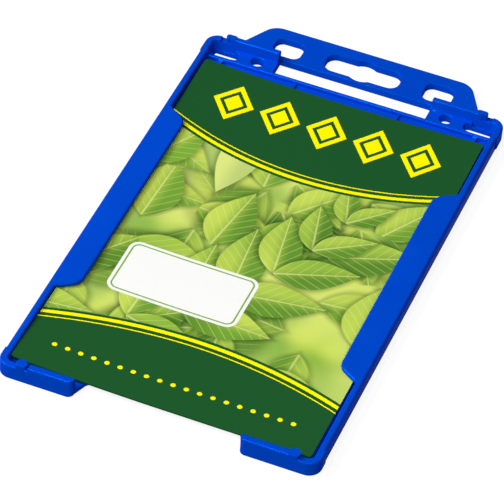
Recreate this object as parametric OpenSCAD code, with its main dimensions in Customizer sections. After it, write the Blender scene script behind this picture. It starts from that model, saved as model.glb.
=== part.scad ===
// Open-faced badge holder: one moulded frame with a loose printed card in it.
// It lies on its back, +Y runs up to the hanging header and +Z out of the card's face.

/* [Card] */
// Width of the printed card
card_w = 54; // [40:0.5:80]
// Length of the printed card
card_l = 86; // [60:0.5:120]
// Thickness of the printed card
card_t = 0.3; // [0.2:0.05:1.2]

/* [Pocket] */
// Free play beside each long edge of the card
side_play = 0.4; // [0.1:0.05:1]
// Distance that the card can slide along the pocket
slide_play = 1; // [0.5:0.05:3]
// Running gap between the card and the moulding
fit_gap = 0.1; // [0.05:0.01:0.2]
// Free height over the card under the side flanges
head_room = 0.75; // [0.3:0.05:2]

/* [Shell] */
// Thickness of the back panel
panel_t = 1; // [0.6:0.1:2]
// Thickness of the side walls
wall_t = 1.3; // [0.8:0.1:2]
// Thickness of the feet, less the corner step
foot_t = 1.3; // [0.8:0.05:2]
// Thickness of the upper end walls at their top, less the corner step
top_t = 1; // [0.8:0.05:1.6]
// Thickness that draft adds to an upper end wall at its base
top_draft = 0.8; // [0:0.05:1]
// Height of the feet and the upper end walls above the side walls
end_rise = 0.7; // [0.2:0.05:1.5]
// Outer radius of the corners
corner_r = 2.3; // [2.1:0.1:3.5]
// Step by which the corners and the end walls stand proud of the sides
corner_step = 0.15; // [0.05:0.05:0.3]
// Length of a lower corner along the side of the holder
corner_l = 3.9; // [3.6:0.1:8]
// Radius of the rounded wall tops
edge_r = 0.35; // [0.1:0.05:0.4]
// Radius of the side walls' outer top edges
side_r = 0.55; // [0.1:0.05:0.55]

/* [Side flanges] */
// Reach of a flange over the card, from the side wall
flange_w = 3.8; // [2:0.1:6]
// Thickness of a flange
flange_t = 0.75; // [0.5:0.05:1.5]
// Length of a flange along the side wall
flange_l = 52; // [30:1:60]
// Angle of the slanted flange ends
flange_slant = 33; // [10:1:45]
// Radius of the flange corners
flange_r = 2.8; // [0.5:0.1:3]

/* [Feet] */
// Clear width between the two feet
foot_gap = 29.8; // [16:0.2:36]
// Radius of the foot ends
foot_r = 1.1; // [0.2:0.1:1.2]
// Depth of the thumb notch in the back panel, from the foot faces
notch_d = 4.15; // [2.5:0.05:20]
// Slant of the thumb notch's sides
notch_slant = 21; // [0:1:30]
// Radius of the thumb notch's inner corners
notch_r = 1.1; // [0.3:0.1:2]

/* [Retaining nubs] */
// Diameter of a nub
nub_d = 2.1; // [1.4:0.1:3]
// Distance from a nub's centre to the holder's side face
nub_inset = 4.35; // [3.9:0.05:6]
// Reach of a lower nub over the pocket, from its foot
nub_reach = 0.4; // [0.2:0.05:1]
// Free height over the card under a nub
nub_room = 1; // [0.3:0.05:1.3]
// Height of a nub above its end wall
nub_rise = 0.1; // [0.05:0.05:0.3]
// Radius of an upper nub's corners
nub_r = 0.5; // [0.2:0.05:0.55]
// Depth of the dip between an upper nub and its corner
dip_d = 0.4; // [0.1:0.05:0.5]
// Width of the groove between the left foot and its nub
groove_w = 0.35; // [0.1:0.05:0.8]

/* [Top rail] */
// Thickness of the rail above the card
rail_t = 0.75; // [0.5:0.05:1.5]
// Height of the rail and the fixing blocks
rail_h = 1.8; // [1.7:0.1:2.5]
// Length of the card stops below the rail
stop_l = 1.85; // [0.8:0.05:4]
// Width of an outer card stop
stop_w = 0.9; // [0.4:0.1:2]
// Distance from an outer card stop to the side wall
stop_inset = 2.3; // [1:0.1:6]
// Width of an inner card stop
rib_w = 0.55; // [0.4:0.05:1]
// Height of an inner card stop above the back panel
rib_h = 0.4; // [0.2:0.05:0.6]
// Distance between the two inner card stops
rib_pitch = 20; // [12:0.5:30]

/* [Ribbon slot and fixing holes] */
// Height of the ribbon slot between rail and header
ribbon_slot_h = 4.2; // [3.6:0.1:8]
// Width of the ribbon slot
ribbon_slot_w = 29.7; // [16:0.1:32]
// Radius of the ribbon slot's lower corners
ribbon_slot_r = 0.7; // [0.2:0.1:1.5]
// Width of a fixing block
block_w = 6.95; // [5:0.05:9]
// Diameter of the fixing holes
fix_hole_d = 2.4; // [1.5:0.1:2.6]
// Distance from a fixing hole to the rail
fix_hole_y = 1.4; // [1.35:0.05:1.5]
// Chamfer around the fixing holes
fix_chamfer = 0.15; // [0.05:0.05:0.2]
// Ledge between a corner slot and the upper end wall
slot_ledge = 0.2; // [0.1:0.05:0.6]
// Radius of the block ends beside the corner slots
block_r = 1.2; // [0.3:0.1:1.2]

/* [Header] */
// Thickness of the header
header_t = 1.5; // [1:0.1:2.5]
// Length of the header above the ribbon slot
header_l = 8.6; // [8:0.1:14]
// Width of the header at its base
header_w = 48.2; // [44:0.2:50]
// Angle of the header's slanted sides
header_slant = 61; // [50:1:85]
// Radius of the header's upper corners
header_r = 3.4; // [1:0.1:5]
// Width of the strip between the header's slots and the ribbon slot
strip_w = 1.1; // [0.8:0.1:2]
// Height of the header's slots
slot_h = 4.85; // [4:0.05:5.5]
// Width of the clip slot in the middle
clip_slot_w = 14.4; // [10:0.1:16]
// Corner radius of the clip slot
clip_slot_r = 1.9; // [0.5:0.1:2]
// Diameter of the clip slot's round middle
clip_bulge_d = 6; // [5.6:0.1:6.6]
// Width of a hook slot at the side
hook_slot_w = 5.5; // [4:0.1:6]
// Corner radius of a hook slot
hook_slot_r = 1.5; // [0.3:0.1:1.9]
// Distance between the centres of the two hook slots
hook_pitch = 29.3; // [28:0.1:31]

/* [Hidden] */
$fn = 48;
// Longest straight step of a rounded outline
arc_chord = 0.25;
// Overlap of a cut past the face that it goes through
over = 1;
// Overlap of a sloping cut, where the slope would reach too far
skim = 0.01;
// Largest share of a width that the rounding on each side of it takes
round_share = 0.45;

// Heights, counted from the back face
card_z = panel_t + fit_gap;
flange_z = card_z + card_t + head_room;
rim_z = flange_z + flange_t;
end_z = rim_z + end_rise;
nub_z = card_z + card_t + nub_room;
nub_top_z = end_z + nub_rise;
dip_z = rim_z - dip_d;
stop_z = (card_z + card_t + rail_h) / 2;

// Half widths, counted from the middle plane
inner_x = card_w / 2 + side_play;
outer_x = inner_x + wall_t;
foot_x = foot_gap / 2;
slot_x = ribbon_slot_w / 2;
block_x = slot_x + block_w;
fix_x = slot_x + block_w / 2;
nub_x = outer_x - nub_inset;
groove_x = nub_x - nub_d / 2 - groove_w;
corner_x = outer_x - corner_r;
stop_x = inner_x - stop_inset - stop_w / 2;

// Where the square corners of the card would meet the rounded corners of the pocket
corner_in_r = corner_r - wall_t;
corner_in_x = max(0, corner_in_r - side_play);
corner_seat_y = corner_r - sqrt(corner_in_r ^ 2 - corner_in_x ^ 2);

// Lengths, counted from the front edge of the back panel
face_y = -corner_step;
card_y = max(foot_t, corner_seat_y) + fit_gap + slide_play;
stop_y = card_y + card_l + fit_gap;
rail_y = stop_y + stop_l;
slot_y = rail_y + rail_t;
fix_y = slot_y + fix_hole_y;
head_y = slot_y + ribbon_slot_h;
top_y = head_y + header_l;
flange_y = (corner_l + rail_y) / 2;
slots_y = head_y + strip_w + slot_h / 2;

// Radii, as far as the walls leave room for them
foot_end_r = min(foot_r, foot_t);
side_in_r = round_limit(edge_r, wall_t);
side_out_r = round_limit(side_r, wall_t);

// The origin is under the middle of the holder's outline
middle_y = (top_y - corner_step) / 2;

function unit(v) = v / norm(v);

// Radius r, limited to what a width w leaves room for
function round_limit(r, w) = min(r, round_share * w);

// Points of an arc about c from angle a0 through sweep, at most arc_chord apart
function arc(c, r, a0, sweep) =
  let(steps = ceil(r * abs(sweep) * PI / 180 / arc_chord) + 1)
  [for (i = [0 : steps]) c + r * [cos(a0 + sweep * i / steps), sin(a0 + sweep * i / steps)]];

// Turn from direction u to direction v, between -180 and 180 degrees
function turn(u, v) = atan2(u.x * v.y - u.y * v.x, u * v);

// Points that replace the corner p, between its neighbours a and b, when rounded by r
function rounded_corner(a, p, b, r) =
  let(u = unit(a - p), v = unit(b - p), half = abs(turn(u, v)) / 2)
  let(c = p + unit(u + v) * r / sin(half))
  let(from = p + u * r / tan(half) - c, to = p + v * r / tan(half) - c)
  r == 0 ? [p] : arc(c, r, atan2(from.y, from.x), turn(from, to));

// A polygon with a rounding radius for each of its corners
module rounded_polygon(points, radii) {
  n = len(points);
  polygon([
    for (i = [0 : n - 1])
      each rounded_corner(points[(i + n - 1) % n], points[i], points[(i + 1) % n], radii[i])
  ]);
}

// What rounding the corner p by r takes off, with some of the space outside it
module corner_waste(a, p, b, r) {
  outward = -unit(unit(a - p) + unit(b - p));
  polygon(concat([p + outward * over], rounded_corner(a, p, b, r)));
}

module rounded_slot(w, h, r) {
  points = [[-w / 2, -h / 2], [w / 2, -h / 2], [w / 2, h / 2], [-w / 2, h / 2]];
  rounded_polygon(points, [r, r, r, r]);
}

module both_sides() {
  children();
  mirror([1, 0, 0]) children();
}

// Extrudes a shape drawn as [y, z] from x0 to x1
module along_x(x0, x1) {
  translate([x0, 0, 0]) rotate([90, 0, 90]) linear_extrude(x1 - x0) children();
}

// Extrudes a shape drawn as [x, z] from y0 to y1
module along_y(y0, y1) {
  translate([0, y1, 0]) rotate([90, 0, 0]) linear_extrude(y1 - y0) children();
}

// Cross-section of a wall from u0 to u1 with a rounded top
module wall_section(u0, u1, h) {
  r = round_limit(edge_r, u1 - u0);
  rounded_polygon([[u0, 0], [u1, 0], [u1, h], [u0, h]], [0, 0, r, r]);
}

// Cross-section of a side wall, counted from a corner's centre
module side_section() {
  points = [[corner_in_r, 0], [corner_r, 0], [corner_r, rim_z], [corner_in_r, rim_z]];
  rounded_polygon(points, [0, 0, side_out_r, side_in_r]);
}

module thumb_notch() {
  y0 = face_y + foot_end_r;
  tip_x = foot_x - (notch_d - y0) * tan(notch_slant);
  points = [
    [-foot_x, -over],
    [foot_x, -over],
    [foot_x, y0],
    [tip_x, notch_d],
    [-tip_x, notch_d],
    [-foot_x, y0]
  ];
  rounded_polygon(points, [0, 0, 0, notch_r, notch_r, 0]);
}

module ribbon_slot() {
  points = [[-slot_x, slot_y], [slot_x, slot_y], [slot_x, head_y], [-slot_x, head_y]];
  rounded_polygon(points, [ribbon_slot_r, ribbon_slot_r, 0, 0]);
}

// Slot between a fixing block and the side wall
module corner_slot() {
  y1 = head_y - top_t - top_draft - slot_ledge;
  r = round_limit(block_r, y1 - slot_y);
  points = [[block_x, slot_y], [inner_x, slot_y], [inner_x, y1], [block_x, y1]];
  rounded_polygon(points, [r, 0, 0, r]);
}

module panel_outline() {
  points = [[-outer_x, 0], [outer_x, 0], [outer_x, head_y], [-outer_x, head_y]];
  difference() {
    rounded_polygon(points, [corner_r, corner_r, corner_r, corner_r]);
    thumb_notch();
    ribbon_slot();
    both_sides() {
      corner_slot();
      foot_end_waste();
    }
  }
}

module side_wall() {
  y0 = (corner_r + corner_l) / 2;
  translate([corner_x, 0, 0]) along_y(y0, rail_y + rail_t / 2) side_section();
}

// Thickness that a draft, given at the base of an end wall, still adds at height z
function draft_at(draft, z) = draft * (1 - z / end_z);

// Section of a wall t thick at a corner, counted from the corner's centre, with its inner face drafted
module corner_section(t, draft) {
  u1 = corner_r + corner_step;
  top_u = max(0, corner_r - t - draft_at(draft, rim_z));
  r = round_limit(edge_r, u1 - top_u);
  base_u = max(0, corner_r - t - draft);
  rounded_polygon([[base_u, 0], [u1, 0], [u1, rim_z], [top_u, rim_z]], [0, 0, r, r]);
}

// Rounded corner, proud of the side wall, with a leg along the side
module corner(leg_end, t, draft) {
  translate([corner_x, 0, 0]) {
    translate([0, corner_r, 0]) rotate([0, 0, -90]) rotate_extrude(angle = 90) corner_section(t, draft);
    along_y(corner_r, leg_end) corner_section(t, draft);
  }
}

// Disc that stands inwards from a foot, cut off flush with the foot's outer face
module foot_nub() {
  y = foot_t + nub_reach - nub_d / 2;
  intersection() {
    translate([nub_x, y, nub_z]) cylinder(d = nub_d, h = nub_top_z - nub_z);
    translate([nub_x - nub_d, face_y, 0]) cube([2 * nub_d, nub_d + over, nub_top_z + over]);
  }
}

// Rounded block on an upper end wall
module top_nub() {
  w = top_t - face_y;
  translate([nub_x, face_y + w / 2, nub_z]) linear_extrude(nub_top_z - nub_z)
    rounded_slot(nub_d, w, round_limit(nub_r, w));
}

// Low stretch of upper end wall between a nub and its corner
module nub_dip() {
  low_y = top_t + draft_at(top_draft, dip_z);
  section = [[face_y, 0], [top_t + top_draft, 0], [low_y, dip_z], [face_y, dip_z]];
  along_x(nub_x, corner_x) polygon(section);
}

// What rounds a foot's end off, seen from above
module foot_end_waste() {
  front = [foot_x, face_y];
  back = [foot_x, foot_t];
  corner_waste(front + [foot_t, 0], front, back, foot_end_r);
}

// Bottom end wall beside the thumb gap, high up to x1 and low from there to the corner
module foot(x1) {
  difference() {
    along_x(foot_x, x1) wall_section(face_y, foot_t, end_z);
    translate([0, 0, -over]) linear_extrude(end_z + 2 * over) foot_end_waste();
  }
  along_x((foot_x + x1) / 2, corner_x) wall_section(face_y, foot_t, rim_z);
  foot_nub();
}

// Upper end wall, drawn like a foot from its outer face inwards
module top_wall() {
  r = round_limit(edge_r, top_t);
  section = [[face_y, 0], [top_t + top_draft, 0], [top_t, end_z], [face_y, end_z]];
  along_x(slot_x, nub_x) rounded_polygon(section, [0, 0, r, r]);
  nub_dip();
  top_nub();
}

module at_top() {
  translate([0, head_y, 0]) mirror([0, 1, 0]) children();
}

module flange_outline() {
  tip_x = inner_x - flange_w;
  root_x = inner_x + (side_in_r + wall_t - side_out_r) / 2;
  half = flange_l / 2;
  cut = flange_w * tan(flange_slant);
  points = [
    [root_x, -half],
    [inner_x, -half],
    [tip_x, -half + cut],
    [tip_x, half - cut],
    [inner_x, half],
    [root_x, half]
  ];
  rounded_polygon(points, [0, 0, flange_r, flange_r, 0, 0]);
}

module flange() {
  translate([0, flange_y, flange_z]) linear_extrude(flange_t) flange_outline();
}

module rail() {
  along_x(-inner_x - wall_t / 2, inner_x + wall_t / 2) wall_section(rail_y, slot_y, rail_h);
}

// Stop below the rail for the upper edge of the card
module card_stop(x, w, h) {
  translate([x - w / 2, stop_y, 0]) cube([w, stop_l + rail_t / 2, h]);
}

// Block that carries a fixing hole between the rail and the upper end wall
module fixing_block() {
  y0 = slot_y - rail_t / 2;
  y1 = head_y - top_t / 2;
  linear_extrude(rail_h) difference() {
    translate([slot_x, y0]) square([block_w + block_r, y1 - y0]);
    ribbon_slot();
    corner_slot();
  }
}

module fixing_hole() {
  cone_h = fix_chamfer + skim;
  translate([fix_x, fix_y, -over]) cylinder(d = fix_hole_d, h = rail_h + 2 * over);
  translate([fix_x, fix_y, rail_h - fix_chamfer])
    cylinder(d1 = fix_hole_d, d2 = fix_hole_d + 2 * cone_h, h = cone_h);
}

module header_outline() {
  base_x = header_w / 2;
  tip_x = base_x - header_l / tan(header_slant);
  sides = [[-base_x, head_y], [base_x, head_y], [tip_x, top_y], [-tip_x, top_y]];
  difference() {
    union() {
      rounded_polygon(sides, [0, 0, header_r, header_r]);
      both_sides() translate([slot_x, head_y - top_t / 2]) square([base_x - slot_x, top_t]);
    }
    translate([0, slots_y]) {
      rounded_slot(clip_slot_w, slot_h, clip_slot_r);
      circle(d = clip_bulge_d);
      both_sides() translate([hook_pitch / 2, 0]) rounded_slot(hook_slot_w, slot_h, hook_slot_r);
    }
  }
}

module holder_shell() {
  linear_extrude(panel_t) panel_outline();
  linear_extrude(header_t) header_outline();
  rail();
  foot(nub_x);
  mirror([1, 0, 0]) foot(groove_x);
  both_sides() {
    side_wall();
    corner(corner_l, wall_t, 0);
    at_top() corner(head_y - rail_y, top_t, top_draft);
    at_top() top_wall();
    flange();
    card_stop(stop_x, stop_w, stop_z);
    card_stop(rib_pitch / 2, rib_w, panel_t + rib_h);
    fixing_block();
  }
}

// The moulded frame, in one piece
module holder() {
  color("royalblue") translate([0, -middle_y, 0]) difference() {
    holder_shell();
    both_sides() fixing_hole();
  }
}

// The square-cut printed card, pushed up against its stops
module card() {
  color("seagreen") translate([-card_w / 2, card_y - middle_y, card_z]) cube([card_w, card_l, card_t]);
}

holder();
card();
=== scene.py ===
"""Looks of an open-faced badge holder and its printed card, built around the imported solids."""

import math

import bmesh
import bpy
from bpy.props import FloatProperty, FloatVectorProperty, IntProperty, PointerProperty
from bpy.types import NodeSocket, Operator, Panel, PropertyGroup
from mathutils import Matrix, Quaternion, Vector
from mathutils.bvhtree import BVHTree
from mathutils.geometry import intersect_point_line


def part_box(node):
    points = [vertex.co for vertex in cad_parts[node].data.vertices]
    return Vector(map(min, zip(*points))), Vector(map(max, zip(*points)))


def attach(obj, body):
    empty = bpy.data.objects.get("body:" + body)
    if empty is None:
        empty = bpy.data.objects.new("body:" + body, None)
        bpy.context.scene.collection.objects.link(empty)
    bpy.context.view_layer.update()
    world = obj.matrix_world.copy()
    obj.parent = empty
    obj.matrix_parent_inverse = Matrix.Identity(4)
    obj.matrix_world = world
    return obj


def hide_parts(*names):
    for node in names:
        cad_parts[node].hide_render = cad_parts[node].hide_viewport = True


bl_info = {
    "name": "Badge holder looks",
    "version": (1, 0, 0),
    "blender": (4, 5, 0),
    "location": "3D View > Sidebar > Badge Holder",
    "description": "Dresses a moulded badge holder and its printed card",
    "category": "Object",
}

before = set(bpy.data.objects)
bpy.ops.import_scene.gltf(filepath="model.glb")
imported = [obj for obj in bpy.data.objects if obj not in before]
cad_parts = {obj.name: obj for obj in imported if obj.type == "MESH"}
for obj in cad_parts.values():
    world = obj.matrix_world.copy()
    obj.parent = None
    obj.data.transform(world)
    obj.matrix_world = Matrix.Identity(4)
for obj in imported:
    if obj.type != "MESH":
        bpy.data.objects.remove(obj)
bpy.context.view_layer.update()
card_low, card_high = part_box("card")
card_size = card_high - card_low
card_middle = (card_low + card_high) / 2
MM = 0.001

# Tolerances of the mesh work on the moulding
TINY = 0.001 * MM
SLIVER = 0.002 * MM
TOUCH = 0.01 * MM
WELD = 0.012 * MM
SKIN = 0.02 * MM
TINY_TURN = 1e-12
TINY_AREA = 1e-10
FLAT = math.radians(1)
DEAD_FLAT = 0.1 * FLAT
CORNER = math.radians(30)
FOLD = math.radians(140)
# Direction in which no wall of the moulding runs
SLANTED_RAY = Vector((0.31, 0.22, 0.92))

# Gap from the card's edge to the side wall
SIDE_GAP = 0.4 * MM
# Half of the stretch that holds the flanges, and of one in which nothing is taller than they are
FLANGE_REACH = 0.4 * card_size.y
RIM_REACH = 25 * MM

# Shares of the room beside an edge that its rounding takes
EDGE_SHARE = 0.4
FLANGE_SHARE = 0.8
FADE_SHARE = 0.55

# Points added to the flange ends: spacing, reach in from the card's edge, shortest edge to split
FADE_STEP = 0.3 * MM
FADE_REACH = 0.9 * MM
LONG_EDGE = 2 * MM

# Bands of the print, in millimetres from the card's middle, and lines along them
TOP_BAND = 19.5
TOP_BOW = 6.0
LOW_BAND = -24.5
LOW_BOW = -5.0
RULE_AT = 1.0
RULE_HALF = 0.39
HAIR_AT = 2.3
HAIR_HALF = 0.125

# Rows of ornaments on the bands, in millimetres
ROW_HALF = 22.5
LOZENGE_Y = 34.4
LOZENGE_PITCH = 9.0
LOZENGE_HALF = (3.9, 4.9)
DOT_Y = -37.0
DOT_PITCH = 2.4
DOT_RADIUS = 0.45

# Blank name field, in millimetres: its middle, its straight half sides, and the roundings of its
# corners and of the two sides of its line
FIELD_MIDDLE = (-8.0, -13.5)
FIELD_HALF = (10.0, 4.6)
FIELD_CORNER = 2.0
FIELD_LINE = (1.41, 1.11)

# Layers of strewn leaves, far to near: cell in millimetres, turn in radians, softness and cover
FOLIAGE = [(21, 0.3, 1.6, 0.7), (17, 2.2, 0.9, 0.8), (14, 4.1, 0.4, 0.9), (15, 5.6, 0.15, 1.0)]


def length(label, text, millimetres):
    """A size in metres, given in millimetres."""
    return FloatProperty(
        name=label, description=text, default=millimetres * MM, precision=6, unit="LENGTH"
    )


def share(label, text, default):
    """A number from 0 to 1."""
    return FloatProperty(
        name=label, description=text, default=default, min=0, max=1, subtype="FACTOR"
    )


def colour(label, text, default):
    """A linear colour."""
    return FloatVectorProperty(
        name=label, description=text, default=default, min=0, max=1, subtype="COLOR"
    )


def point(label, text, default):
    """A point in the holder's frame, in metres."""
    return FloatVectorProperty(
        name=label, description=text, default=default, precision=5, subtype="XYZ", unit="LENGTH"
    )


class HolderLook(PropertyGroup):
    """Edges and plastic of the moulded holder."""

    edge_radius: length("Edge radius", "Rounding of the moulding's sharp edges", 0.16)
    flange_radius: length("Flange radius", "Rounding of the upper edges of the flanges", 0.42)
    sharp_angle: FloatProperty(
        name="Sharp angle",
        description="Edges that turn by more than this are rounded",
        default=math.radians(38),
        subtype="ANGLE",
    )
    plastic: colour("Plastic", "Colour of the plastic", (0.0004, 0.073, 0.675))
    deep: colour("Deep plastic", "Colour in the darker flow marks", (0.0003, 0.066, 0.625))
    gloss: share("Gloss", "Strength of the white gloss", 0.001)
    sheen: share("Sheen", "Share of the blue gloss", 0.2)
    sheen_tint: colour("Sheen tint", "Colour of the blue gloss at a slant", (0.02, 0.2, 0.7))
    roughness: share("Roughness", "Roughness of the smoothest spots", 0.2)
    grain: length("Grain", "Size of the fine moulded grain", 0.22)
    scratch: length("Scratch", "Length of the faint rubbed scratches", 6)
    flow: length("Flow marks", "Size of the soft flow marks", 14)


class CardLook(PropertyGroup):
    """Curl and print of the card."""

    left_lift: length("Left lift", "Lift of the left edge under its flange", 0.64)
    right_lift: length("Right lift", "Lift of the right edge under its flange", 0.48)
    top_lift: length("Top lift", "Lift at the middle of the top edge", 0.2)
    bottom_lift: length("Bottom lift", "Lift at the middle of the bottom edge", 0.3)
    top_left_lift: length("Top left lift", "Lift of the free top left corner", 1.05)
    top_right_lift: length("Top right lift", "Lift of the free top right corner", 0.85)
    bottom_left_lift: length("Bottom left lift", "Lift of the free bottom left corner", 1.12)
    bottom_right_lift: length("Bottom right lift", "Lift of the free bottom right corner", 0.42)
    shift: length("Shift", "Shift of the loose card to the left in its pocket", 0.15)
    trim: length("Trim", "How far the tips of the corners are taken back", 0.13)
    turn: FloatProperty(
        name="Turn",
        description="Turn of the loose card in its pocket",
        default=math.radians(-0.25),
        subtype="ANGLE",
    )
    sharp_angle: FloatProperty(
        name="Sharp angle",
        description="Edges that turn by more than this shade as sharp",
        default=math.radians(40),
        subtype="ANGLE",
    )
    across: IntProperty(name="Across", description="Points across the card", default=73, min=3)
    along: IntProperty(name="Along", description="Points along the card", default=115, min=3)
    band: colour("Band", "Dark green of the two bands", (0.0118, 0.088, 0.0225))
    accent: colour("Accent", "Yellow of lines and ornaments", (1.0, 0.88, 0.001))
    pale: colour("Pale leaf", "Veins and the sunniest leaves", (0.78, 0.83, 0.3))
    bright: colour("Bright leaf", "Sunlit leaves", (0.56, 0.68, 0.1))
    leaf: colour("Leaf", "Leaves", (0.19, 0.39, 0.04))
    shade: colour("Shaded leaf", "Leaves in shade", (0.04, 0.145, 0.016))
    deep: colour("Deep shade", "Shadows between the leaves", (0.01, 0.045, 0.007))
    paper: colour("Paper", "Bare card", (0.86, 0.86, 0.84))
    gloss: share("Gloss", "Strength of the print's gloss", 0.004)
    roughness: share("Roughness", "Roughness of the print", 0.42)
    print_grain: length("Print grain", "Size of the print's fine grain", 0.3)
    print_scratch: length("Print scratch", "Length of the print's faint scratches", 9)
    stock_roughness: share("Stock roughness", "Roughness of the bare card", 0.6)
    stock_grain: length("Stock grain", "Size of the bare card's grain", 0.18)
    stock_scratch: length("Stock scratch", "Length of the bare card's scratches", 4)


class StageLook(PropertyGroup):
    """Floor, lamps and camera."""

    eye: point("Eye", "Place of the camera", (0.154094, -0.476312, 0.454486))
    target: point("Target", "Point that the camera looks at", (-0.000464, -0.007149, 0.0015))
    roll: FloatProperty(
        name="Roll", description="Tilt of the camera", default=math.radians(4.957), subtype="ANGLE"
    )
    lens: FloatProperty(
        name="Lens", description="Focal length in millimetres", default=276.608, unit="CAMERA"
    )
    floor: colour("Floor", "Colour of the floor", (0.16, 0.16, 0.16))
    floor_size: length("Floor size", "Side of the floor", 1600)
    floor_gap: length("Floor gap", "Gap between the floor and the holder", 0.05)
    floor_glow: share("Floor glow", "Brightness of the floor where it is seen", 0.88)
    floor_bounce: colour("Floor bounce", "Colour that the floor lights with", (0.08, 0.08, 0.08))
    key_place: point("Key place", "Place of the lamp on the left", (-0.57, -0.18, 0.53))
    key_size: length("Key size", "Side of the lamp on the left", 300)
    key_power: FloatProperty(
        name="Key", description="Power of the lamp on the left", default=4.9, unit="POWER"
    )
    front_place: point("Front place", "Place of the lamp in front", (-0.2, -0.42, 0.66))
    front_size: length("Front size", "Side of the lamp in front", 80)
    front_power: FloatProperty(
        name="Front", description="Power of the lamp in front", default=2.1, unit="POWER"
    )
    fill_place: point("Fill place", "Place of the lamp on the right", (0.28, -0.5, 0.6))
    fill_size: length("Fill size", "Side of the lamp on the right", 80)
    fill_power: FloatProperty(
        name="Fill", description="Power of the lamp on the right", default=1.6, unit="POWER"
    )
    sky: FloatProperty(name="Sky", description="Strength of the light all round", default=0.17)
    sky_fall: share("Sky fall", "How much the light all round falls off to the right", 0.75)


class Wiring:
    """Adds nodes to a tree and connects what they are given."""

    def __init__(self, tree):
        self.tree = tree

    def feed(self, socket, value):
        if isinstance(value, NodeSocket):
            self.tree.links.new(value, socket)
        else:
            socket.default_value = value

    def node(self, kind, inputs=(), **settings):
        made = self.tree.nodes.new(kind)
        for name, value in settings.items():
            setattr(made, name, value)
        for key, value in dict(inputs).items():
            self.feed(made.inputs[key], value)
        return made

    def math(self, operation, *values):
        return self.node("ShaderNodeMath", enumerate(values), operation=operation).outputs[0]

    def mix(self, factor, a, b):
        made = self.node("ShaderNodeMix", {0: factor, 6: a, 7: b}, data_type="RGBA")
        return made.outputs[2]

    def vector(self, operation, *values):
        """Output of a vector calculation: a vector, or the length of one."""
        made = self.node("ShaderNodeVectorMath", enumerate(values), operation=operation)
        return made.outputs["Value" if operation == "LENGTH" else "Vector"]

    def join(self, x=0.0, y=0.0, z=0.0):
        return self.node("ShaderNodeCombineXYZ", enumerate((x, y, z))).outputs[0]

    def split(self, vector):
        return self.node("ShaderNodeSeparateXYZ", {0: vector}).outputs

    def turned(self, vector, angle):
        """A vector turned about Z."""
        made = self.node(
            "ShaderNodeVectorRotate", {"Vector": vector, "Angle": angle}, rotation_type="Z_AXIS"
        )
        return made.outputs[0]

    def group(self, tree, inputs):
        """Outputs of a shader node group that is given its inputs."""
        return self.node("ShaderNodeGroup", inputs, node_tree=tree).outputs

    def bump(self, height, strength, depth=0.02 * MM):
        made = self.node(
            "ShaderNodeBump", {"Strength": strength, "Distance": depth, "Height": height}
        )
        return made.outputs["Normal"]

    def ramp(self, value, low, high):
        """0 at low, 1 at high, with soft ends."""
        made = self.node(
            "ShaderNodeMapRange",
            {"Value": value, "From Min": low, "From Max": high},
            interpolation_type="SMOOTHSTEP",
        )
        return made.outputs["Result"]

    def within(self, value, limit, soft):
        """1 below a limit, 0 above it, with a soft edge."""
        return self.ramp(value, limit + soft, limit - soft)

    def noise(self, vector, scale, detail=2.0, roughness=0.5):
        made = self.node(
            "ShaderNodeTexNoise",
            {"Vector": vector, "Scale": scale, "Detail": detail, "Roughness": roughness},
        )
        return made.outputs["Fac"]


def rgba(value):
    return (*value, 1.0)


def floats(*names):
    return [(name, "NodeSocketFloat") for name in names]


def vectors(*names):
    return [(name, "NodeSocketVector") for name in names]


def new_group(name, kind, inputs, outputs):
    """An empty node group with named sockets, and its two end nodes."""
    tree = bpy.data.node_groups.new(name, kind)
    for label, socket in inputs:
        tree.interface.new_socket(label, in_out="INPUT", socket_type=socket)
    for label, socket in outputs:
        tree.interface.new_socket(label, in_out="OUTPUT", socket_type=socket)
    return tree, tree.nodes.new("NodeGroupInput").outputs, tree.nodes.new("NodeGroupOutput").inputs


def new_material(name):
    """A material with a Principled shader, its wiring and the shader's inputs."""
    material = bpy.data.materials.new(name)
    material.use_nodes = True
    wires = Wiring(material.node_tree)
    return material, wires, material.node_tree.nodes["Principled BSDF"].inputs


def surface_grain():
    """Group: fine grain of a moulded or printed surface, with faint rubbed scratches."""
    scratch_turn = math.radians(24)
    scratch_stretch = 22
    scratch_from, scratch_full = 0.66, 0.74
    tree, given, result = new_group(
        "Surface grain",
        "ShaderNodeTree",
        vectors("Vector") + floats("Grain Size", "Scratch Length"),
        floats("Grain", "Scratches"),
    )
    wires = Wiring(tree)
    fine = wires.math("DIVIDE", 1.0, given["Grain Size"])
    coarse = wires.math("DIVIDE", 1.0, given["Scratch Length"])
    turned = wires.node(
        "ShaderNodeMapping",
        {
            "Vector": given["Vector"],
            "Rotation": (0, 0, scratch_turn),
            "Scale": (1, scratch_stretch, 1),
        },
    )
    streak = wires.noise(turned.outputs["Vector"], coarse)
    wires.feed(result["Grain"], wires.noise(given["Vector"], fine, detail=3.0, roughness=0.6))
    wires.feed(result["Scratches"], wires.ramp(streak, scratch_from, scratch_full))
    return tree


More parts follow.
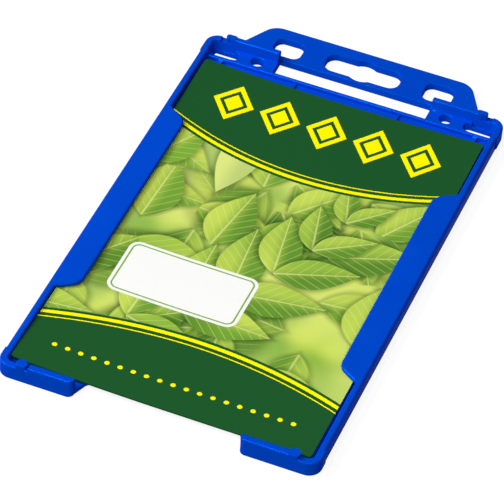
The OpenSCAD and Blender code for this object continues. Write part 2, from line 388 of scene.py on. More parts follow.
def moulded_plastic(look, grain):
    """Satin blue plastic with soft flow marks."""
    material, wires, shader = new_material("moulded_plastic")
    grain_roughness, scratch_roughness, scratch_depth, relief = 0.08, 0.06, 0.3, 0.12
    mark_from, mark_full = 0.35, 0.7
    place = wires.node("ShaderNodeTexCoord").outputs["Object"]
    surface = wires.group(
        grain, {"Vector": place, "Grain Size": look.grain, "Scratch Length": look.scratch}
    )
    marks = wires.ramp(wires.noise(place, 1 / look.flow, detail=3.0), mark_from, mark_full)
    wires.feed(shader["Base Color"], wires.mix(marks, rgba(look.deep), rgba(look.plastic)))
    rough = wires.math("MULTIPLY_ADD", surface["Grain"], grain_roughness, look.roughness)
    rough = wires.math("MULTIPLY_ADD", surface["Scratches"], scratch_roughness, rough)
    wires.feed(shader["Roughness"], rough)
    shader["Metallic"].default_value = look.sheen
    shader["Specular IOR Level"].default_value = look.gloss
    shader["Specular Tint"].default_value = rgba(look.sheen_tint)
    height = wires.math("MULTIPLY_ADD", surface["Scratches"], -scratch_depth, surface["Grain"])
    wires.feed(shader["Normal"], wires.bump(height, relief))
    return material


def leaf_shape():
    """Group: one pointed leaf of the print, with midrib and side veins. Sizes in millimetres."""
    shadow_reach, shadow_core = 1.3, 0.4
    rib_half, rib_taper, rib_core = 0.34, 0.22, 0.04
    vein_slant, vein_pitch, vein_start, vein_strength = 1.1, 2.1, 0.82, 0.45
    fullest_part = 0.8
    tree, given, result = new_group(
        "Leaf shape",
        "ShaderNodeTree",
        vectors("Position", "Base") + floats("Angle", "Length", "Width", "Softness"),
        floats("Mask", "Shadow", "Vein", "Side"),
    )
    wires = Wiring(tree)
    maths = wires.math
    offset = wires.vector("SUBTRACT", given["Position"], given["Base"])
    parts = wires.split(wires.turned(offset, maths("MULTIPLY", given["Angle"], -1.0)))
    along, across = parts["X"], maths("ABSOLUTE", parts["Y"])
    run = maths("DIVIDE", along, given["Length"])
    bow = maths("POWER", maths("MAXIMUM", run, 0.0), fullest_part)
    half = maths("MULTIPLY", maths("SINE", maths("MULTIPLY", bow, math.pi)), given["Width"])
    behind = maths("MAXIMUM", maths("MULTIPLY", along, -1.0), 0.0)
    gap = maths("ADD", maths("SUBTRACT", across, half), behind)
    outer = given["Softness"]
    wires.feed(result["Mask"], wires.ramp(gap, outer, maths("MULTIPLY", outer, -1.0)))
    shadow_edge = maths("ADD", outer, shadow_reach)
    wires.feed(result["Shadow"], wires.ramp(gap, shadow_edge, -shadow_core))
    rib = wires.ramp(across, maths("MULTIPLY_ADD", run, -rib_taper, rib_half), rib_core)
    slant = maths("MULTIPLY_ADD", across, -vein_slant, along)
    wave = maths("COSINE", maths("MULTIPLY", slant, 2 * math.pi / vein_pitch))
    veins = maths("MULTIPLY", wires.ramp(wave, vein_start, 1.0), vein_strength)
    wires.feed(result["Vein"], maths("MAXIMUM", rib, veins))
    wires.feed(result["Side"], maths("DIVIDE", parts["Y"], given["Width"]))
    return tree


def foliage(shape):
    """Group: leaves strewn over the print at random, one to a cell. Sizes in millimetres."""
    scatter, swing = 0.7, 2.6
    least_reach, spare_reach, half_width = 0.95, 0.2, 0.27
    tree, given, result = new_group(
        "Foliage",
        "ShaderNodeTree",
        vectors("Position") + floats("Cell", "Turn", "Softness"),
        floats("Mask", "Shadow", "Vein", "Side", "Tone"),
    )
    wires = Wiring(tree)
    maths = wires.math
    cells = wires.node(
        "ShaderNodeTexVoronoi",
        {
            "Vector": given["Position"],
            "Scale": maths("DIVIDE", 1.0, given["Cell"]),
            "Randomness": scatter,
        },
        voronoi_dimensions="2D",
    )
    chance = wires.node("ShaderNodeSeparateColor", {0: cells.outputs["Color"]}).outputs
    angle = maths("MULTIPLY_ADD", chance["Red"], swing, given["Turn"])
    stretch = maths("MULTIPLY_ADD", chance["Green"], spare_reach, least_reach)
    reach = maths("MULTIPLY", given["Cell"], stretch)
    to_base = wires.turned(wires.join(maths("MULTIPLY", reach, -0.5)), angle)
    leaf = wires.group(
        shape,
        {
            "Position": given["Position"],
            "Base": wires.vector("ADD", cells.outputs["Position"], to_base),
            "Angle": angle,
            "Length": reach,
            "Width": maths("MULTIPLY", reach, half_width),
            "Softness": given["Softness"],
        },
    )
    for label in ("Mask", "Shadow", "Vein", "Side"):
        wires.feed(result[label], leaf[label])
    wires.feed(result["Tone"], chance["Blue"])
    return tree


def sprig(start, end, bow, pairs, reach, spread):
    """Leaves in pairs along a bowed stem: each is (base, angle, length), in millimetres."""
    first, least, swell, swell_start = 0.4, 0.72, 0.56, 0.18
    opened, closing = 1.08, 0.5
    start, end = Vector(start), Vector(end)
    run = end - start
    side = Vector((-run.y, run.x)).normalized()
    for i in range(pairs):
        t = (i + first) / pairs
        base = start + run * t + side * bow * 4 * t * (1 - t)
        heading = math.atan2(run.y, run.x) + math.atan2(bow * 4 * (1 - 2 * t), run.length)
        size = reach * (least + swell * math.sin(math.pi * min(1.0, t + swell_start)))
        for turn in (spread, -spread):
            yield base, heading + turn * (opened - closing * t), size


def leafy_picture(wires, place, look):
    """Colour of the picture: strewn leaves from soft to sharp, and one sharp sprig in front."""
    blur_scale, blur_half = 0.075, 0.14
    dapple_scale, dapple_half = 0.045, 0.12
    sun_tilt, sun_low, sun_high = 0.8, -40.0, 36.0
    dapple_share, slope_share, glow = 0.6, 0.4, 0.4
    shadow_share, vein_share, sun_share, chance_share = 0.55, 0.55, 0.7, 0.4
    sprig_half_width, sprig_soft, sprig_sunny, sprig_shady = 0.25, 0.1, 0.4, 0.1
    mix, maths, ramp = wires.mix, wires.math, wires.ramp
    parts = wires.split(place)
    blur = wires.noise(place, blur_scale, detail=1.0)
    blur = ramp(blur, 0.5 - blur_half, 0.5 + blur_half)
    dapple = wires.noise(place, dapple_scale, detail=1.0)
    dapple = ramp(dapple, 0.5 - dapple_half, 0.5 + dapple_half)
    slope = ramp(maths("MULTIPLY_ADD", parts["X"], -sun_tilt, parts["Y"]), sun_low, sun_high)
    sun = maths("MULTIPLY_ADD", dapple, dapple_share, maths("MULTIPLY", slope, slope_share))
    picture = mix(blur, rgba(look.leaf), rgba(look.bright))
    picture = mix(maths("MULTIPLY", sun, glow), picture, rgba(look.pale))

    def lay(leaf, tone, cover):
        """Draws leaves over the picture, with their soft shadow under them."""
        shadow = maths("MULTIPLY", leaf["Shadow"], shadow_share * cover)
        under = mix(shadow, picture, rgba(look.deep))
        low = mix(tone, rgba(look.shade), rgba(look.leaf))
        high = mix(tone, rgba(look.leaf), rgba(look.bright))
        face = mix(ramp(leaf["Side"], -0.5, 0.5), low, high)
        face = mix(maths("MULTIPLY", leaf["Vein"], vein_share), face, rgba(look.pale))
        return mix(maths("MULTIPLY", leaf["Mask"], cover), under, face)

    shape = leaf_shape()
    strewn = foliage(shape)
    for cell, turn, soft, cover in FOLIAGE:
        shifted = wires.vector("ADD", place, (cell * 7, cell * 3, 0))
        leaves = wires.group(
            strewn, {"Position": shifted, "Cell": cell, "Turn": turn, "Softness": soft}
        )
        by_chance = maths("MULTIPLY", leaves["Tone"], chance_share)
        picture = lay(leaves, maths("MULTIPLY_ADD", sun, sun_share, by_chance), cover)

    stem = sprig((-17, -27), (13, 19), bow=-6, pairs=6, reach=13.5, spread=0.85)
    for number, (base, angle, reach) in enumerate(stem):
        leaf = wires.group(
            shape,
            {
                "Position": place,
                "Base": (*base, 0),
                "Angle": angle,
                "Length": reach,
                "Width": reach * sprig_half_width,
                "Softness": sprig_soft,
            },
        )
        tone = sprig_sunny if number % 3 == 0 else sprig_shady
        picture = lay(leaf, maths("MULTIPLY_ADD", sun, sun_share, tone), 1.0)
    return picture


def to_nearest(wires, value, pitch):
    """Distance to the nearest of marks that repeat at a pitch, with its sign."""
    step = wires.math("FRACT", wires.math("MULTIPLY_ADD", value, 1 / pitch, 0.5))
    return wires.math("MULTIPLY", wires.math("SUBTRACT", step, 0.5), pitch)


def bowed_bands(wires, x, y, card_half):
    """How far a point lies inside the top or the low band, in millimetres."""
    maths = wires.math
    bow = maths("POWER", maths("DIVIDE", x, card_half), 2.0)
    over = maths("SUBTRACT", y, maths("MULTIPLY_ADD", bow, TOP_BOW, TOP_BAND))
    under = maths("SUBTRACT", maths("MULTIPLY_ADD", bow, LOW_BOW, LOW_BAND), y)
    return maths("MAXIMUM", over, under)


def lozenge_row(wires, x, y):
    """Mask of a row of outlined lozenges with a full core."""
    maths, within = wires.math, wires.within
    outside, hollow, core, soft = 1.0, 0.7, 0.48, 0.02
    step = maths("ABSOLUTE", to_nearest(wires, x, LOZENGE_PITCH))
    wide = maths("DIVIDE", step, LOZENGE_HALF[0])
    tall = maths("DIVIDE", maths("ABSOLUTE", maths("SUBTRACT", y, LOZENGE_Y)), LOZENGE_HALF[1])
    spread = maths("ADD", wide, tall)
    line = maths("SUBTRACT", within(spread, outside, soft), within(spread, hollow, soft))
    return maths("MAXIMUM", line, within(spread, core, soft))


def dot_row(wires, x, y):
    """Mask of a row of round dots."""
    across = to_nearest(wires, x, DOT_PITCH)
    spot = wires.join(across, wires.math("SUBTRACT", y, DOT_Y))
    return wires.within(wires.vector("LENGTH", spot), DOT_RADIUS, soft=0.05)


def field_edge(wires, x, y):
    """Distance of a point from the straight-sided core of the name field, in millimetres."""
    past = []
    for place, middle, half in zip((x, y), FIELD_MIDDLE, FIELD_HALF):
        off = wires.math("ABSOLUTE", wires.math("SUBTRACT", place, middle))
        past.append(wires.math("MAXIMUM", wires.math("SUBTRACT", off, half), 0.0))
    return wires.vector("LENGTH", wires.join(*past))


def card_print(look, grain):
    """Green and yellow print: a leafy picture between two bowed bands, with a bare name field."""
    material, wires, shader = new_material("card_print")
    mix, maths, within = wires.mix, wires.math, wires.within
    edge_soft, rule_soft, hair_soft, line_soft = 0.06, 0.06, 0.045, 0.05
    tone_spread, scratch_roughness, relief = 0.1, 0.1, 0.05
    accent = rgba(look.accent)
    wide, tall = card_size.x / MM, card_size.y / MM
    place = wires.node(
        "ShaderNodeMapping",
        {
            "Vector": wires.node("ShaderNodeUVMap", uv_map="print").outputs[0],
            "Location": (-wide / 2, -tall / 2, 0),
            "Scale": (wide, tall, 1),
        },
    ).outputs["Vector"]
    parts = wires.split(place)
    x, y = parts["X"], parts["Y"]

    inside = bowed_bands(wires, x, y, wide / 2)
    picture = leafy_picture(wires, place, look)
    printed = mix(wires.ramp(inside, -edge_soft, edge_soft), picture, rgba(look.band))
    lines = [(RULE_AT, RULE_HALF, rule_soft), (HAIR_AT, HAIR_HALF, hair_soft)]
    for at, half, soft in lines:
        off = maths("ABSOLUTE", maths("SUBTRACT", inside, at))
        printed = mix(within(off, half, soft), printed, accent)

    in_row = within(maths("ABSOLUTE", x), ROW_HALF, soft=0.1)
    for row in (lozenge_row(wires, x, y), dot_row(wires, x, y)):
        printed = mix(maths("MULTIPLY", row, in_row), printed, accent)

    edge = field_edge(wires, x, y)
    printed = mix(within(edge, FIELD_CORNER, edge_soft), printed, rgba(look.paper))
    outer, inner = (within(edge, side, line_soft) for side in FIELD_LINE)
    printed = mix(maths("SUBTRACT", outer, inner), printed, rgba(look.leaf))

    surface = wires.group(
        grain,
        {
            "Vector": place,
            "Grain Size": look.print_grain / MM,
            "Scratch Length": look.print_scratch / MM,
        },
    )
    tone = maths("MULTIPLY_ADD", surface["Grain"], tone_spread, 1 - tone_spread / 2)
    toned = wires.node("ShaderNodeHueSaturation", {"Color": printed, "Value": tone})
    rough = maths("MULTIPLY_ADD", surface["Scratches"], scratch_roughness, look.roughness)
    wires.feed(shader["Base Color"], toned.outputs["Color"])
    wires.feed(shader["Roughness"], rough)
    shader["Specular IOR Level"].default_value = look.gloss
    wires.feed(shader["Normal"], wires.bump(surface["Grain"], relief))
    return material


def card_stock(look, grain):
    """Bare card: its cut edges and its back."""
    material, wires, shader = new_material("card_stock")
    dimming, grain_roughness, relief = 0.9, 0.2, 0.2
    surface = wires.group(
        grain,
        {
            "Vector": wires.node("ShaderNodeTexCoord").outputs["Object"],
            "Grain Size": look.stock_grain,
            "Scratch Length": look.stock_scratch,
        },
    )
    dim = [dimming * part for part in look.paper]
    tone = wires.mix(surface["Grain"], rgba(dim), rgba(look.paper))
    rough = wires.math("MULTIPLY_ADD", surface["Grain"], grain_roughness, look.stock_roughness)
    wires.feed(shader["Base Color"], tone)
    wires.feed(shader["Roughness"], rough)
    wires.feed(shader["Normal"], wires.bump(surface["Grain"], relief))
    return material


def grain_group():
    """The shared surface grain, made once."""
    return bpy.data.node_groups.get("Surface grain") or surface_grain()


def as_piece(name, mesh, body, node):
    """Puts a finished mesh in the scene, on its body and in place of its solid."""
    mesh.name = name
    piece = bpy.data.objects.new(name, mesh)
    bpy.context.scene.collection.objects.link(piece)
    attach(piece, body)
    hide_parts(node)


def evaluated_mesh(maker):
    """The plain mesh that a maker object's modifiers give."""
    graph = bpy.context.evaluated_depsgraph_get()
    graph.update()
    return bpy.data.meshes.new_from_object(
        maker.evaluated_get(graph), preserve_all_data_layers=True, depsgraph=graph
    )


def on_flange(edge, rim):
    """Whether an edge is on the upper outline of a side flange."""
    return all(
        abs(v.co.x) < card_high.x + SIDE_GAP + TOUCH
        and abs(v.co.y - card_middle.y) < FLANGE_REACH
        and v.co.z > rim - TOUCH
        for v in edge.verts
    )


def ends_run(point, look):
    """Whether a single sharp edge ends at a point."""
    sharp = [e.is_convex and e.calc_face_angle(0.0) > look.sharp_angle for e in point.link_edges]
    return sum(sharp) == 1


def room_beside(edge):
    """Least distance across the two faces of an edge, between its ends."""
    room = 1.0
    middle = (edge.verts[0].co + edge.verts[1].co) / 2
    inner_half = 0.98 * edge.calc_length() / 2
    for loop in edge.link_loops:
        along = (loop.link_loop_next.vert.co - loop.vert.co).normalized()
        inward = loop.face.normal.cross(along)
        for side in loop.face.loops:
            spots = (side.vert.co - middle, side.link_loop_next.vert.co - middle)
            (run_a, in_a), (run_b, in_b) = ((s.dot(along), s.dot(inward)) for s in spots)
            if abs(run_a) < inner_half and in_a > TINY:
                room = min(room, in_a)
            if run_a * run_b < 0 and side.edge.calc_face_angle(0.0) > FLAT:
                across = in_a + (in_b - in_a) * run_a / (run_a - run_b)
                room = min(room, across if across > TINY else room)
    return room


def rounding_radius(edge, look, rim):
    """Radius that an edge of the moulding gets. A flange's rounding fades out at the side wall."""
    if not edge.is_convex or edge.calc_face_angle(0.0) < look.sharp_angle:
        return 0.0
    if on_flange(edge, rim):
        to_wall = card_high.x + SIDE_GAP - min(abs(v.co.x) for v in edge.verts)
        return min(look.flange_radius, FADE_SHARE * to_wall, FLANGE_SHARE * room_beside(edge))
    return min(look.edge_radius, EDGE_SHARE * room_beside(edge))


def smooth_runs(edges, rim):
    """Groups edges into runs without a corner. Each flange edge is a run of its own."""
    left = set(edges)
    while left:
        run = [left.pop()]
        for edge in run:
            for point in edge.verts:
                near = [e for e in point.link_edges if e in edges and e is not edge]
                if len(near) != 1 or near[0] not in left or on_flange(edge, rim):
                    continue
                a, b = (point.co - e.other_vert(point).co for e in (edge, near[0]))
                if a.angle(-b) < CORNER and not on_flange(near[0], rim):
                    left.discard(near[0])
                    run.append(near[0])
        yield run


def split_flange_ends(shell, rim):
    """Adds points to the flange ends near the side wall, so that their rounding can fade."""
    for edge in [e for e in shell.edges if e.is_convex and on_flange(e, rim)]:
        outer = max(edge.verts, key=lambda v: abs(v.co.x))
        while edge.calc_length() > LONG_EDGE and abs(outer.co.x) > card_high.x - FADE_REACH:
            edge, outer = bmesh.utils.edge_split(edge, outer, FADE_STEP / edge.calc_length())
            edge = max(outer.link_edges, key=lambda e: e.calc_length() * on_flange(e, rim))


def is_stray(point, solid, deepest):
    """Whether a point lies outside a solid, or deeper in it than any rounding goes."""
    depth = solid.find_nearest(point)[3]
    if depth < SKIN or depth > deepest:
        return depth > deepest
    ray = SLANTED_RAY.normalized()
    walls_passed = 0
    hit = solid.ray_cast(point, ray)[0]
    while hit is not None:
        walls_passed += 1
        hit = solid.ray_cast(hit + ray * TINY, ray)[0]
    return walls_passed % 2 == 0


def crossings(points, normal):
    """Places where the outline of a flat face crosses itself."""
    drop = max(range(3), key=lambda i: abs(normal[i]))
    flat = [Vector([p[i] for i in range(3) if i != drop]) for p in points]
    sides = list(zip(flat, flat[1:] + flat[:1]))

    def turn(a, b, c):
        size = (b - a).cross(c - a)
        return 0 if abs(size) < TINY_TURN else math.copysign(1, size)

    for i, (a, b) in enumerate(sides):
        for j in range(i + 2, len(sides) - (i == 0)):
            c, d = sides[j]
            if turn(a, b, c) * turn(a, b, d) < 0 and turn(c, d, a) * turn(c, d, b) < 0:
                yield points[i]
                yield points[j]


def rounding_faults(mesh, solid, deepest):
    """Places where a rounded mesh leaves its solid or folds over itself."""
    places = [v.co.copy() for v in mesh.vertices if is_stray(v.co, solid, deepest)]
    for face in mesh.polygons:
        if len(face.vertices) > 4:
            places += crossings([mesh.vertices[i].co.copy() for i in face.vertices], face.normal)
    mesh.calc_loop_triangles()
    for half in mesh.loop_triangles:
        face = mesh.polygons[half.polygon_index]
        if len(face.vertices) < 5 and half.area > TINY_AREA and half.normal.dot(face.normal) < 0:
            places.append(face.center.copy())
    shell = bmesh.new()
    shell.from_mesh(mesh)
    for edge in shell.edges:
        if edge.calc_face_angle(0.0) > FOLD:
            places += [v.co.copy() for v in edge.verts]
    shell.free()
    return places


def round_edges(shell, look, rim, solid, maker):
    """Rounds the sharp edges of a shell, with less rounding where there is no room for it."""
    attempts, shrink, deepest_share = 12, 0.6, 0.46
    near_reach, reach_step = 0.1 * MM, 0.03 * MM
    largest = max(look.edge_radius, look.flange_radius)
    weights = shell.edges.layers.float.new("bevel_weight_edge")
    radii = {edge: rounding_radius(edge, look, rim) for edge in shell.edges}
    runs = list(smooth_runs({edge for edge, radius in radii.items() if radius > 0}, rim))
    sizes = [min(radii[edge] for edge in run) for run in runs]
    for attempt in range(attempts):
        for edge in shell.edges:
            edge[weights] = 0.0
            edge.smooth = edge.calc_face_angle(0.0) < look.sharp_angle
        for run, size in zip(runs, sizes):
            for edge in run:
                edge[weights] = size / largest if size > WELD else 0.0
                edge.smooth = edge[weights] > 0
        shell.to_mesh(maker.data)
        mesh = evaluated_mesh(maker)
        places = rounding_faults(mesh, solid, deepest_share * largest)
        if not places:
            return mesh
        bpy.data.meshes.remove(mesh)
        reach = near_reach + reach_step * attempt
        for number, run in enumerate(runs):
            if any(is_near(edge, places, reach) for edge in run):
                sizes[number] *= shrink
    raise RuntimeError("the moulding's edges can't be rounded")


def is_near(edge, places, reach):
    """Whether an edge comes within reach of one of some places."""
    a, b = (v.co for v in edge.verts)
    for place in places:
        t = intersect_point_line(place, a, b)[1]
        if (a.lerp(b, min(max(t, 0.0), 1.0)) - place).length < reach:
            return True
    return False


class BADGE_OT_holder(Operator):
    """Rounds the moulding's edges and gives it its plastic"""

    bl_idname = "badge.holder"
    bl_label = "Moulded holder"

    def execute(self, context):
        look = context.scene.badge_holder
        shell = bmesh.new()
        shell.from_mesh(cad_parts["holder"].data)
        bmesh.ops.remove_doubles(shell, verts=shell.verts, dist=WELD)
        bmesh.ops.dissolve_degenerate(shell, edges=shell.edges, dist=SLIVER)
        solid = BVHTree.FromBMesh(shell)
        flat = [e for e in shell.edges if e.calc_face_angle(1.0) < DEAD_FLAT]
        bmesh.ops.beautify_fill(shell, faces=shell.faces, edges=flat, method="ANGLE")
        flat = [e for e in flat if e.is_valid and any(ends_run(v, look) for v in e.verts)]
        for edges in (flat, shell.edges):
            bmesh.ops.dissolve_limit(shell, angle_limit=FLAT, verts=shell.verts, edges=edges)
        shell.normal_update()
        rim = max(v.co.z for v in shell.verts if abs(v.co.y) < RIM_REACH)
        split_flange_ends(shell, rim)
        for face in shell.faces:
            face.smooth = True
            face.material_index = 0
        maker = bpy.data.objects.new("holder_maker", bpy.data.meshes.new("holder_shell"))
        maker.data.materials.append(moulded_plastic(look, grain_group()))
        context.scene.collection.objects.link(maker)
        rounder = maker.modifiers.new("Rounded edges", "BEVEL")
        rounder.limit_method = "WEIGHT"
        rounder.width = max(look.edge_radius, look.flange_radius)
        rounder.segments = 3
        rounder.use_clamp_overlap = False
        rounder.loop_slide = False
        evener = maker.modifiers.new("Even shading", "WEIGHTED_NORMAL")
        evener.keep_sharp = True
        mesh = round_edges(shell, look, rim, solid, maker)
        shell.free()
        bpy.data.objects.remove(maker)
        as_piece("moulded_holder", mesh, "holder", "holder")
        return {"FINISHED"}


def curled_card_tree():
    """Geometry Nodes: a thin card whose long edges and corners lift."""
    free_from, free_power, bend_power, tip_from = 0.6, 1.5, 2.2, 0.999
    tree, given, result = new_group(
        "Curled card",
        "GeometryNodeTree",
        floats("Width", "Length", "Thickness", "Turn", "Trim")
        + floats("Left", "Right", "Top", "Bottom")
        + floats("Top Left", "Top Right", "Bottom Left", "Bottom Right")
        + vectors("Middle")
        + [("Across", "NodeSocketInt"), ("Along", "NodeSocketInt")]
        + [("Print", "NodeSocketMaterial"), ("Stock", "NodeSocketMaterial")],
        [("Geometry", "NodeSocketGeometry")],
    )
    wires = Wiring(tree)
    maths = wires.math
    grid = wires.node(
        "GeometryNodeMeshGrid",
        {
            "Size X": given["Width"],
            "Size Y": given["Length"],
            "Vertices X": given["Across"],
            "Vertices Y": given["Along"],
        },
    )
    mapped = wires.node(
        "GeometryNodeStoreNamedAttribute",
        {"Geometry": grid.outputs["Mesh"], "Name": "print"},
        data_type="FLOAT2",
        domain="CORNER",
    )
    wires.feed(mapped.inputs["Value"], grid.outputs["UV Map"])
    parts = wires.split(wires.node("GeometryNodeInputPosition").outputs[0])
    out = maths("DIVIDE", maths("ABSOLUTE", parts["X"]), maths("MULTIPLY", given["Width"], 0.5))
    end = maths("DIVIDE", maths("ABSOLUTE", parts["Y"]), maths("MULTIPLY", given["Length"], 0.5))
    free = maths("POWER", wires.ramp(end, free_from, 1.0), free_power)
    bend = maths("POWER", out, bend_power)
    right = maths("GREATER_THAN", parts["X"], 0.0)
    upper = maths("GREATER_THAN", parts["Y"], 0.0)

    def pick(choice, a, b):
        return maths("MULTIPLY_ADD", choice, maths("SUBTRACT", b, a), a)

    side = pick(right, given["Left"], given["Right"])
    above = pick(right, given["Top Left"], given["Top Right"])
    below = pick(right, given["Bottom Left"], given["Bottom Right"])
    corner = pick(upper, below, above)
    middle = pick(upper, given["Bottom"], given["Top"])
    lift = pick(free, maths("MULTIPLY", side, bend), pick(bend, middle, corner))
    at_tip = maths("GREATER_THAN", maths("MINIMUM", out, end), tip_from)
    trim = maths("MULTIPLY", maths("MULTIPLY", at_tip, given["Trim"]), -1.0)
    inward = [maths("MULTIPLY", trim, maths("SIGN", parts[name])) for name in "XY"]
    raised = wires.node(
        "GeometryNodeSetPosition",
        {"Geometry": mapped.outputs["Geometry"], "Offset": wires.join(*inward, lift)},
    )
    set_down = wires.node(
        "GeometryNodeTransform",
        {
            "Geometry": raised.outputs["Geometry"],
            "Translation": given["Middle"],
            "Rotation": wires.join(z=given["Turn"]),
        },
    )
    thick = wires.node(
        "GeometryNodeExtrudeMesh",
        {
            "Mesh": set_down.outputs["Geometry"],
            "Offset": (0, 0, 1),
            "Offset Scale": given["Thickness"],
            "Individual": False,
        },
        mode="FACES",
    )
    back = wires.node("GeometryNodeFlipFaces", {"Mesh": set_down.outputs["Geometry"]})
    joined = wires.node("GeometryNodeJoinGeometry")
    wires.feed(joined.inputs[0], back.outputs["Mesh"])
    wires.feed(joined.inputs[0], thick.outputs["Mesh"])
    closed = wires.node(
        "GeometryNodeMergeByDistance", {"Geometry": joined.outputs[0], "Distance": TINY}
    )
    real = wires.node("GeometryNodeRealizeInstances", {"Geometry": closed.outputs[0]})
    bare = wires.node(
        "FunctionNodeBooleanMath",
        {0: thick.outputs["Top"], 1: thick.outputs["Side"]},
        operation="NOR",
    )
    printed = wires.node(
        "GeometryNodeSetMaterial", {"Geometry": real.outputs[0], "Material": given["Print"]}
    )
    stock = wires.node(
        "GeometryNodeSetMaterial",
        {
            "Geometry": printed.outputs[0],
            "Selection": bare.outputs[0],
            "Material": given["Stock"],
        },
    )
    wires.feed(result["Geometry"], stock.outputs[0])
    return tree


class BADGE_OT_card(Operator):
    """Makes the loose printed card, slightly curled in its pocket"""

    bl_idname = "badge.card"
    bl_label = "Printed card"

    def execute(self, context):
        look = context.scene.badge_card
        tree = curled_card_tree()
        values = {
            "Width": card_size.x,
            "Length": card_size.y,
            "Thickness": card_size.z,
            "Turn": look.turn,
            "Trim": look.trim,
            "Left": look.left_lift,
            "Right": look.right_lift,
            "Top": look.top_lift,
            "Bottom": look.bottom_lift,
            "Top Left": look.top_left_lift,
            "Top Right": look.top_right_lift,
            "Bottom Left": look.bottom_left_lift,
            "Bottom Right": look.bottom_right_lift,
            "Middle": (card_middle.x - look.shift, card_middle.y, card_low.z),
            "Across": look.across,
            "Along": look.along,
            "Print": card_print(look, grain_group()),
            "Stock": card_stock(look, grain_group()),
        }
        maker = bpy.data.objects.new("card_maker", bpy.data.meshes.new("card_maker"))
        context.scene.collection.objects.link(maker)
        shaper = maker.modifiers.new("Curled card", "NODES")
        shaper.node_group = tree
        for item in tree.interface.items_tree:
            if item.in_out == "INPUT":
                shaper[item.identifier] = values[item.name]
        mesh = evaluated_mesh(maker)
        bpy.data.objects.remove(maker)
        mesh.set_sharp_from_angle(angle=look.sharp_angle)
        as_piece("printed_card", mesh, "card", "card")
        return {"FINISHED"}


def soft_lamp(name, place, size, power):
    """A square lamp that faces the middle of the holder."""
    data = bpy.data.lights.new(name, "AREA")
    data.shape = "SQUARE"
    data.size = size
    data.energy = power
    lamp = bpy.data.objects.new(name, data)
    lamp.location = place
    lamp.rotation_euler = (-Vector(place)).to_track_quat("-Z", "Y").to_euler()
    bpy.context.scene.collection.objects.link(lamp)


def seen_ray(wires):
    """1 for rays that show a surface: from the camera, in a gloss or through glass."""
    path = wires.node("ShaderNodeLightPath").outputs
    seen = wires.math("MAXIMUM", path["Is Camera Ray"], path["Is Glossy Ray"])
    return wires.math("MAXIMUM", seen, path["Is Transmission Ray"])


def floor_material(look):
    """A pale floor that keeps the holder's shadow and throws little light back."""
    material, wires, shader = new_material("pale_floor")
    cloud_scale, cloud_tone = 9.0, 0.985
    seen = seen_ray(wires)
    cloud = wires.noise(wires.node("ShaderNodeTexCoord").outputs["Object"], cloud_scale)
    dim = [cloud_tone * part for part in look.floor]
    pale = wires.mix(cloud, rgba(dim), rgba(look.floor))
    wires.feed(shader["Base Color"], wires.mix(seen, rgba(look.floor_bounce), pale))
    shader["Roughness"].default_value = 0.9
    shader["Specular IOR Level"].default_value = 0.0
    shader["Emission Color"].default_value = (1, 1, 1, 1)
    wires.feed(shader["Emission Strength"], wires.math("MULTIPLY", seen, look.floor_glow))
    return material


def light_all_round(scene, look):
    """A white sky that falls off to the right."""
    world = bpy.data.worlds.new("studio")
    world.use_nodes = True
    scene.world = world
    wires = Wiring(world.node_tree)
    background = world.node_tree.nodes["Background"].inputs
    ray = wires.split(wires.node("ShaderNodeTexCoord").outputs["Generated"])
    glow = wires.math("MULTIPLY_ADD", ray["X"], -look.sky_fall, 1.0)
    background["Color"].default_value = (1, 1, 1, 1)
    wires.feed(background["Strength"], wires.math("MULTIPLY", glow, look.sky))


def photo_camera(scene, look):
    """The camera at the photograph's viewing angle."""
    data = bpy.data.cameras.new("camera")
    data.lens = look.lens
    data.sensor_width = 36
    data.clip_start = 0.01
    camera = bpy.data.objects.new("camera", data)
    gaze = Vector(look.target) - Vector(look.eye)
    tilt = Quaternion((0, 0, 1), look.roll)
    camera.location = look.eye
    camera.rotation_mode = "QUATERNION"
    camera.rotation_quaternion = gaze.to_track_quat("-Z", "Y") @ tilt
    scene.collection.objects.link(camera)
    scene.camera = camera


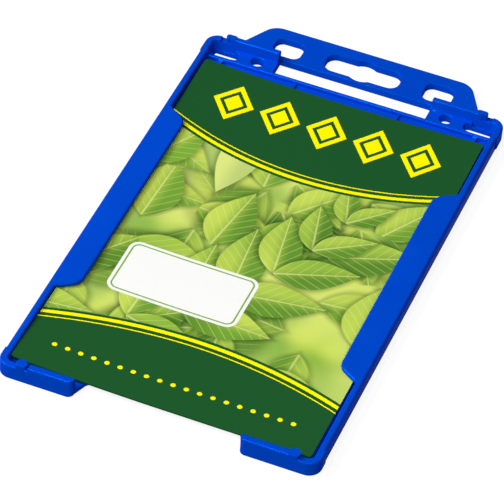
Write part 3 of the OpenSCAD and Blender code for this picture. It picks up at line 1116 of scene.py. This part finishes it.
class BADGE_OT_stage(Operator):
    """Sets up the pale floor, the soft lamps and the camera"""

    bl_idname = "badge.stage"
    bl_label = "Stage"

    def execute(self, context):
        look = context.scene.badge_stage
        half = look.floor_size / 2
        mesh = bpy.data.meshes.new("floor")
        corners = [(-half, -half), (half, -half), (half, half), (-half, half)]
        mesh.from_pydata([(x, y, -look.floor_gap) for x, y in corners], [], [(0, 1, 2, 3)])
        mesh.materials.append(floor_material(look))
        floor = bpy.data.objects.new("floor", mesh)
        context.scene.collection.objects.link(floor)
        light_all_round(context.scene, look)
        soft_lamp("key", look.key_place, look.key_size, look.key_power)
        soft_lamp("front", look.front_place, look.front_size, look.front_power)
        soft_lamp("fill", look.fill_place, look.fill_size, look.fill_power)
        photo_camera(context.scene, look)
        context.scene.view_settings.view_transform = "Standard"
        return {"FINISHED"}


class BADGE_PT_looks(Panel):
    """Lists the pieces and their settings"""

    bl_idname = "BADGE_PT_looks"
    bl_label = "Badge holder"
    bl_space_type = "VIEW_3D"
    bl_region_type = "UI"
    bl_category = "Badge Holder"

    def draw(self, context):
        for maker, name in PIECES:
            column = self.layout.box().column()
            column.operator(maker.bl_idname)
            look = getattr(context.scene, name)
            for setting in look.bl_rna.properties.keys():
                if setting not in ("rna_type", "name"):
                    column.prop(look, setting)


PIECES = [
    (BADGE_OT_holder, "badge_holder"),
    (BADGE_OT_card, "badge_card"),
    (BADGE_OT_stage, "badge_stage"),
]
LOOKS = {"badge_holder": HolderLook, "badge_card": CardLook, "badge_stage": StageLook}
CLASSES = [*LOOKS.values(), *(maker for maker, name in PIECES), BADGE_PT_looks]


def register():
    for item in CLASSES:
        bpy.utils.register_class(item)
    for name, look in LOOKS.items():
        setattr(bpy.types.Scene, name, PointerProperty(type=look))


def unregister():
    for name in LOOKS:
        delattr(bpy.types.Scene, name)
    for item in reversed(CLASSES):
        bpy.utils.unregister_class(item)


def main():
    register()
    bpy.ops.badge.stage()
    bpy.ops.badge.holder()
    bpy.ops.badge.card()


if __name__ == "__main__":
    main()
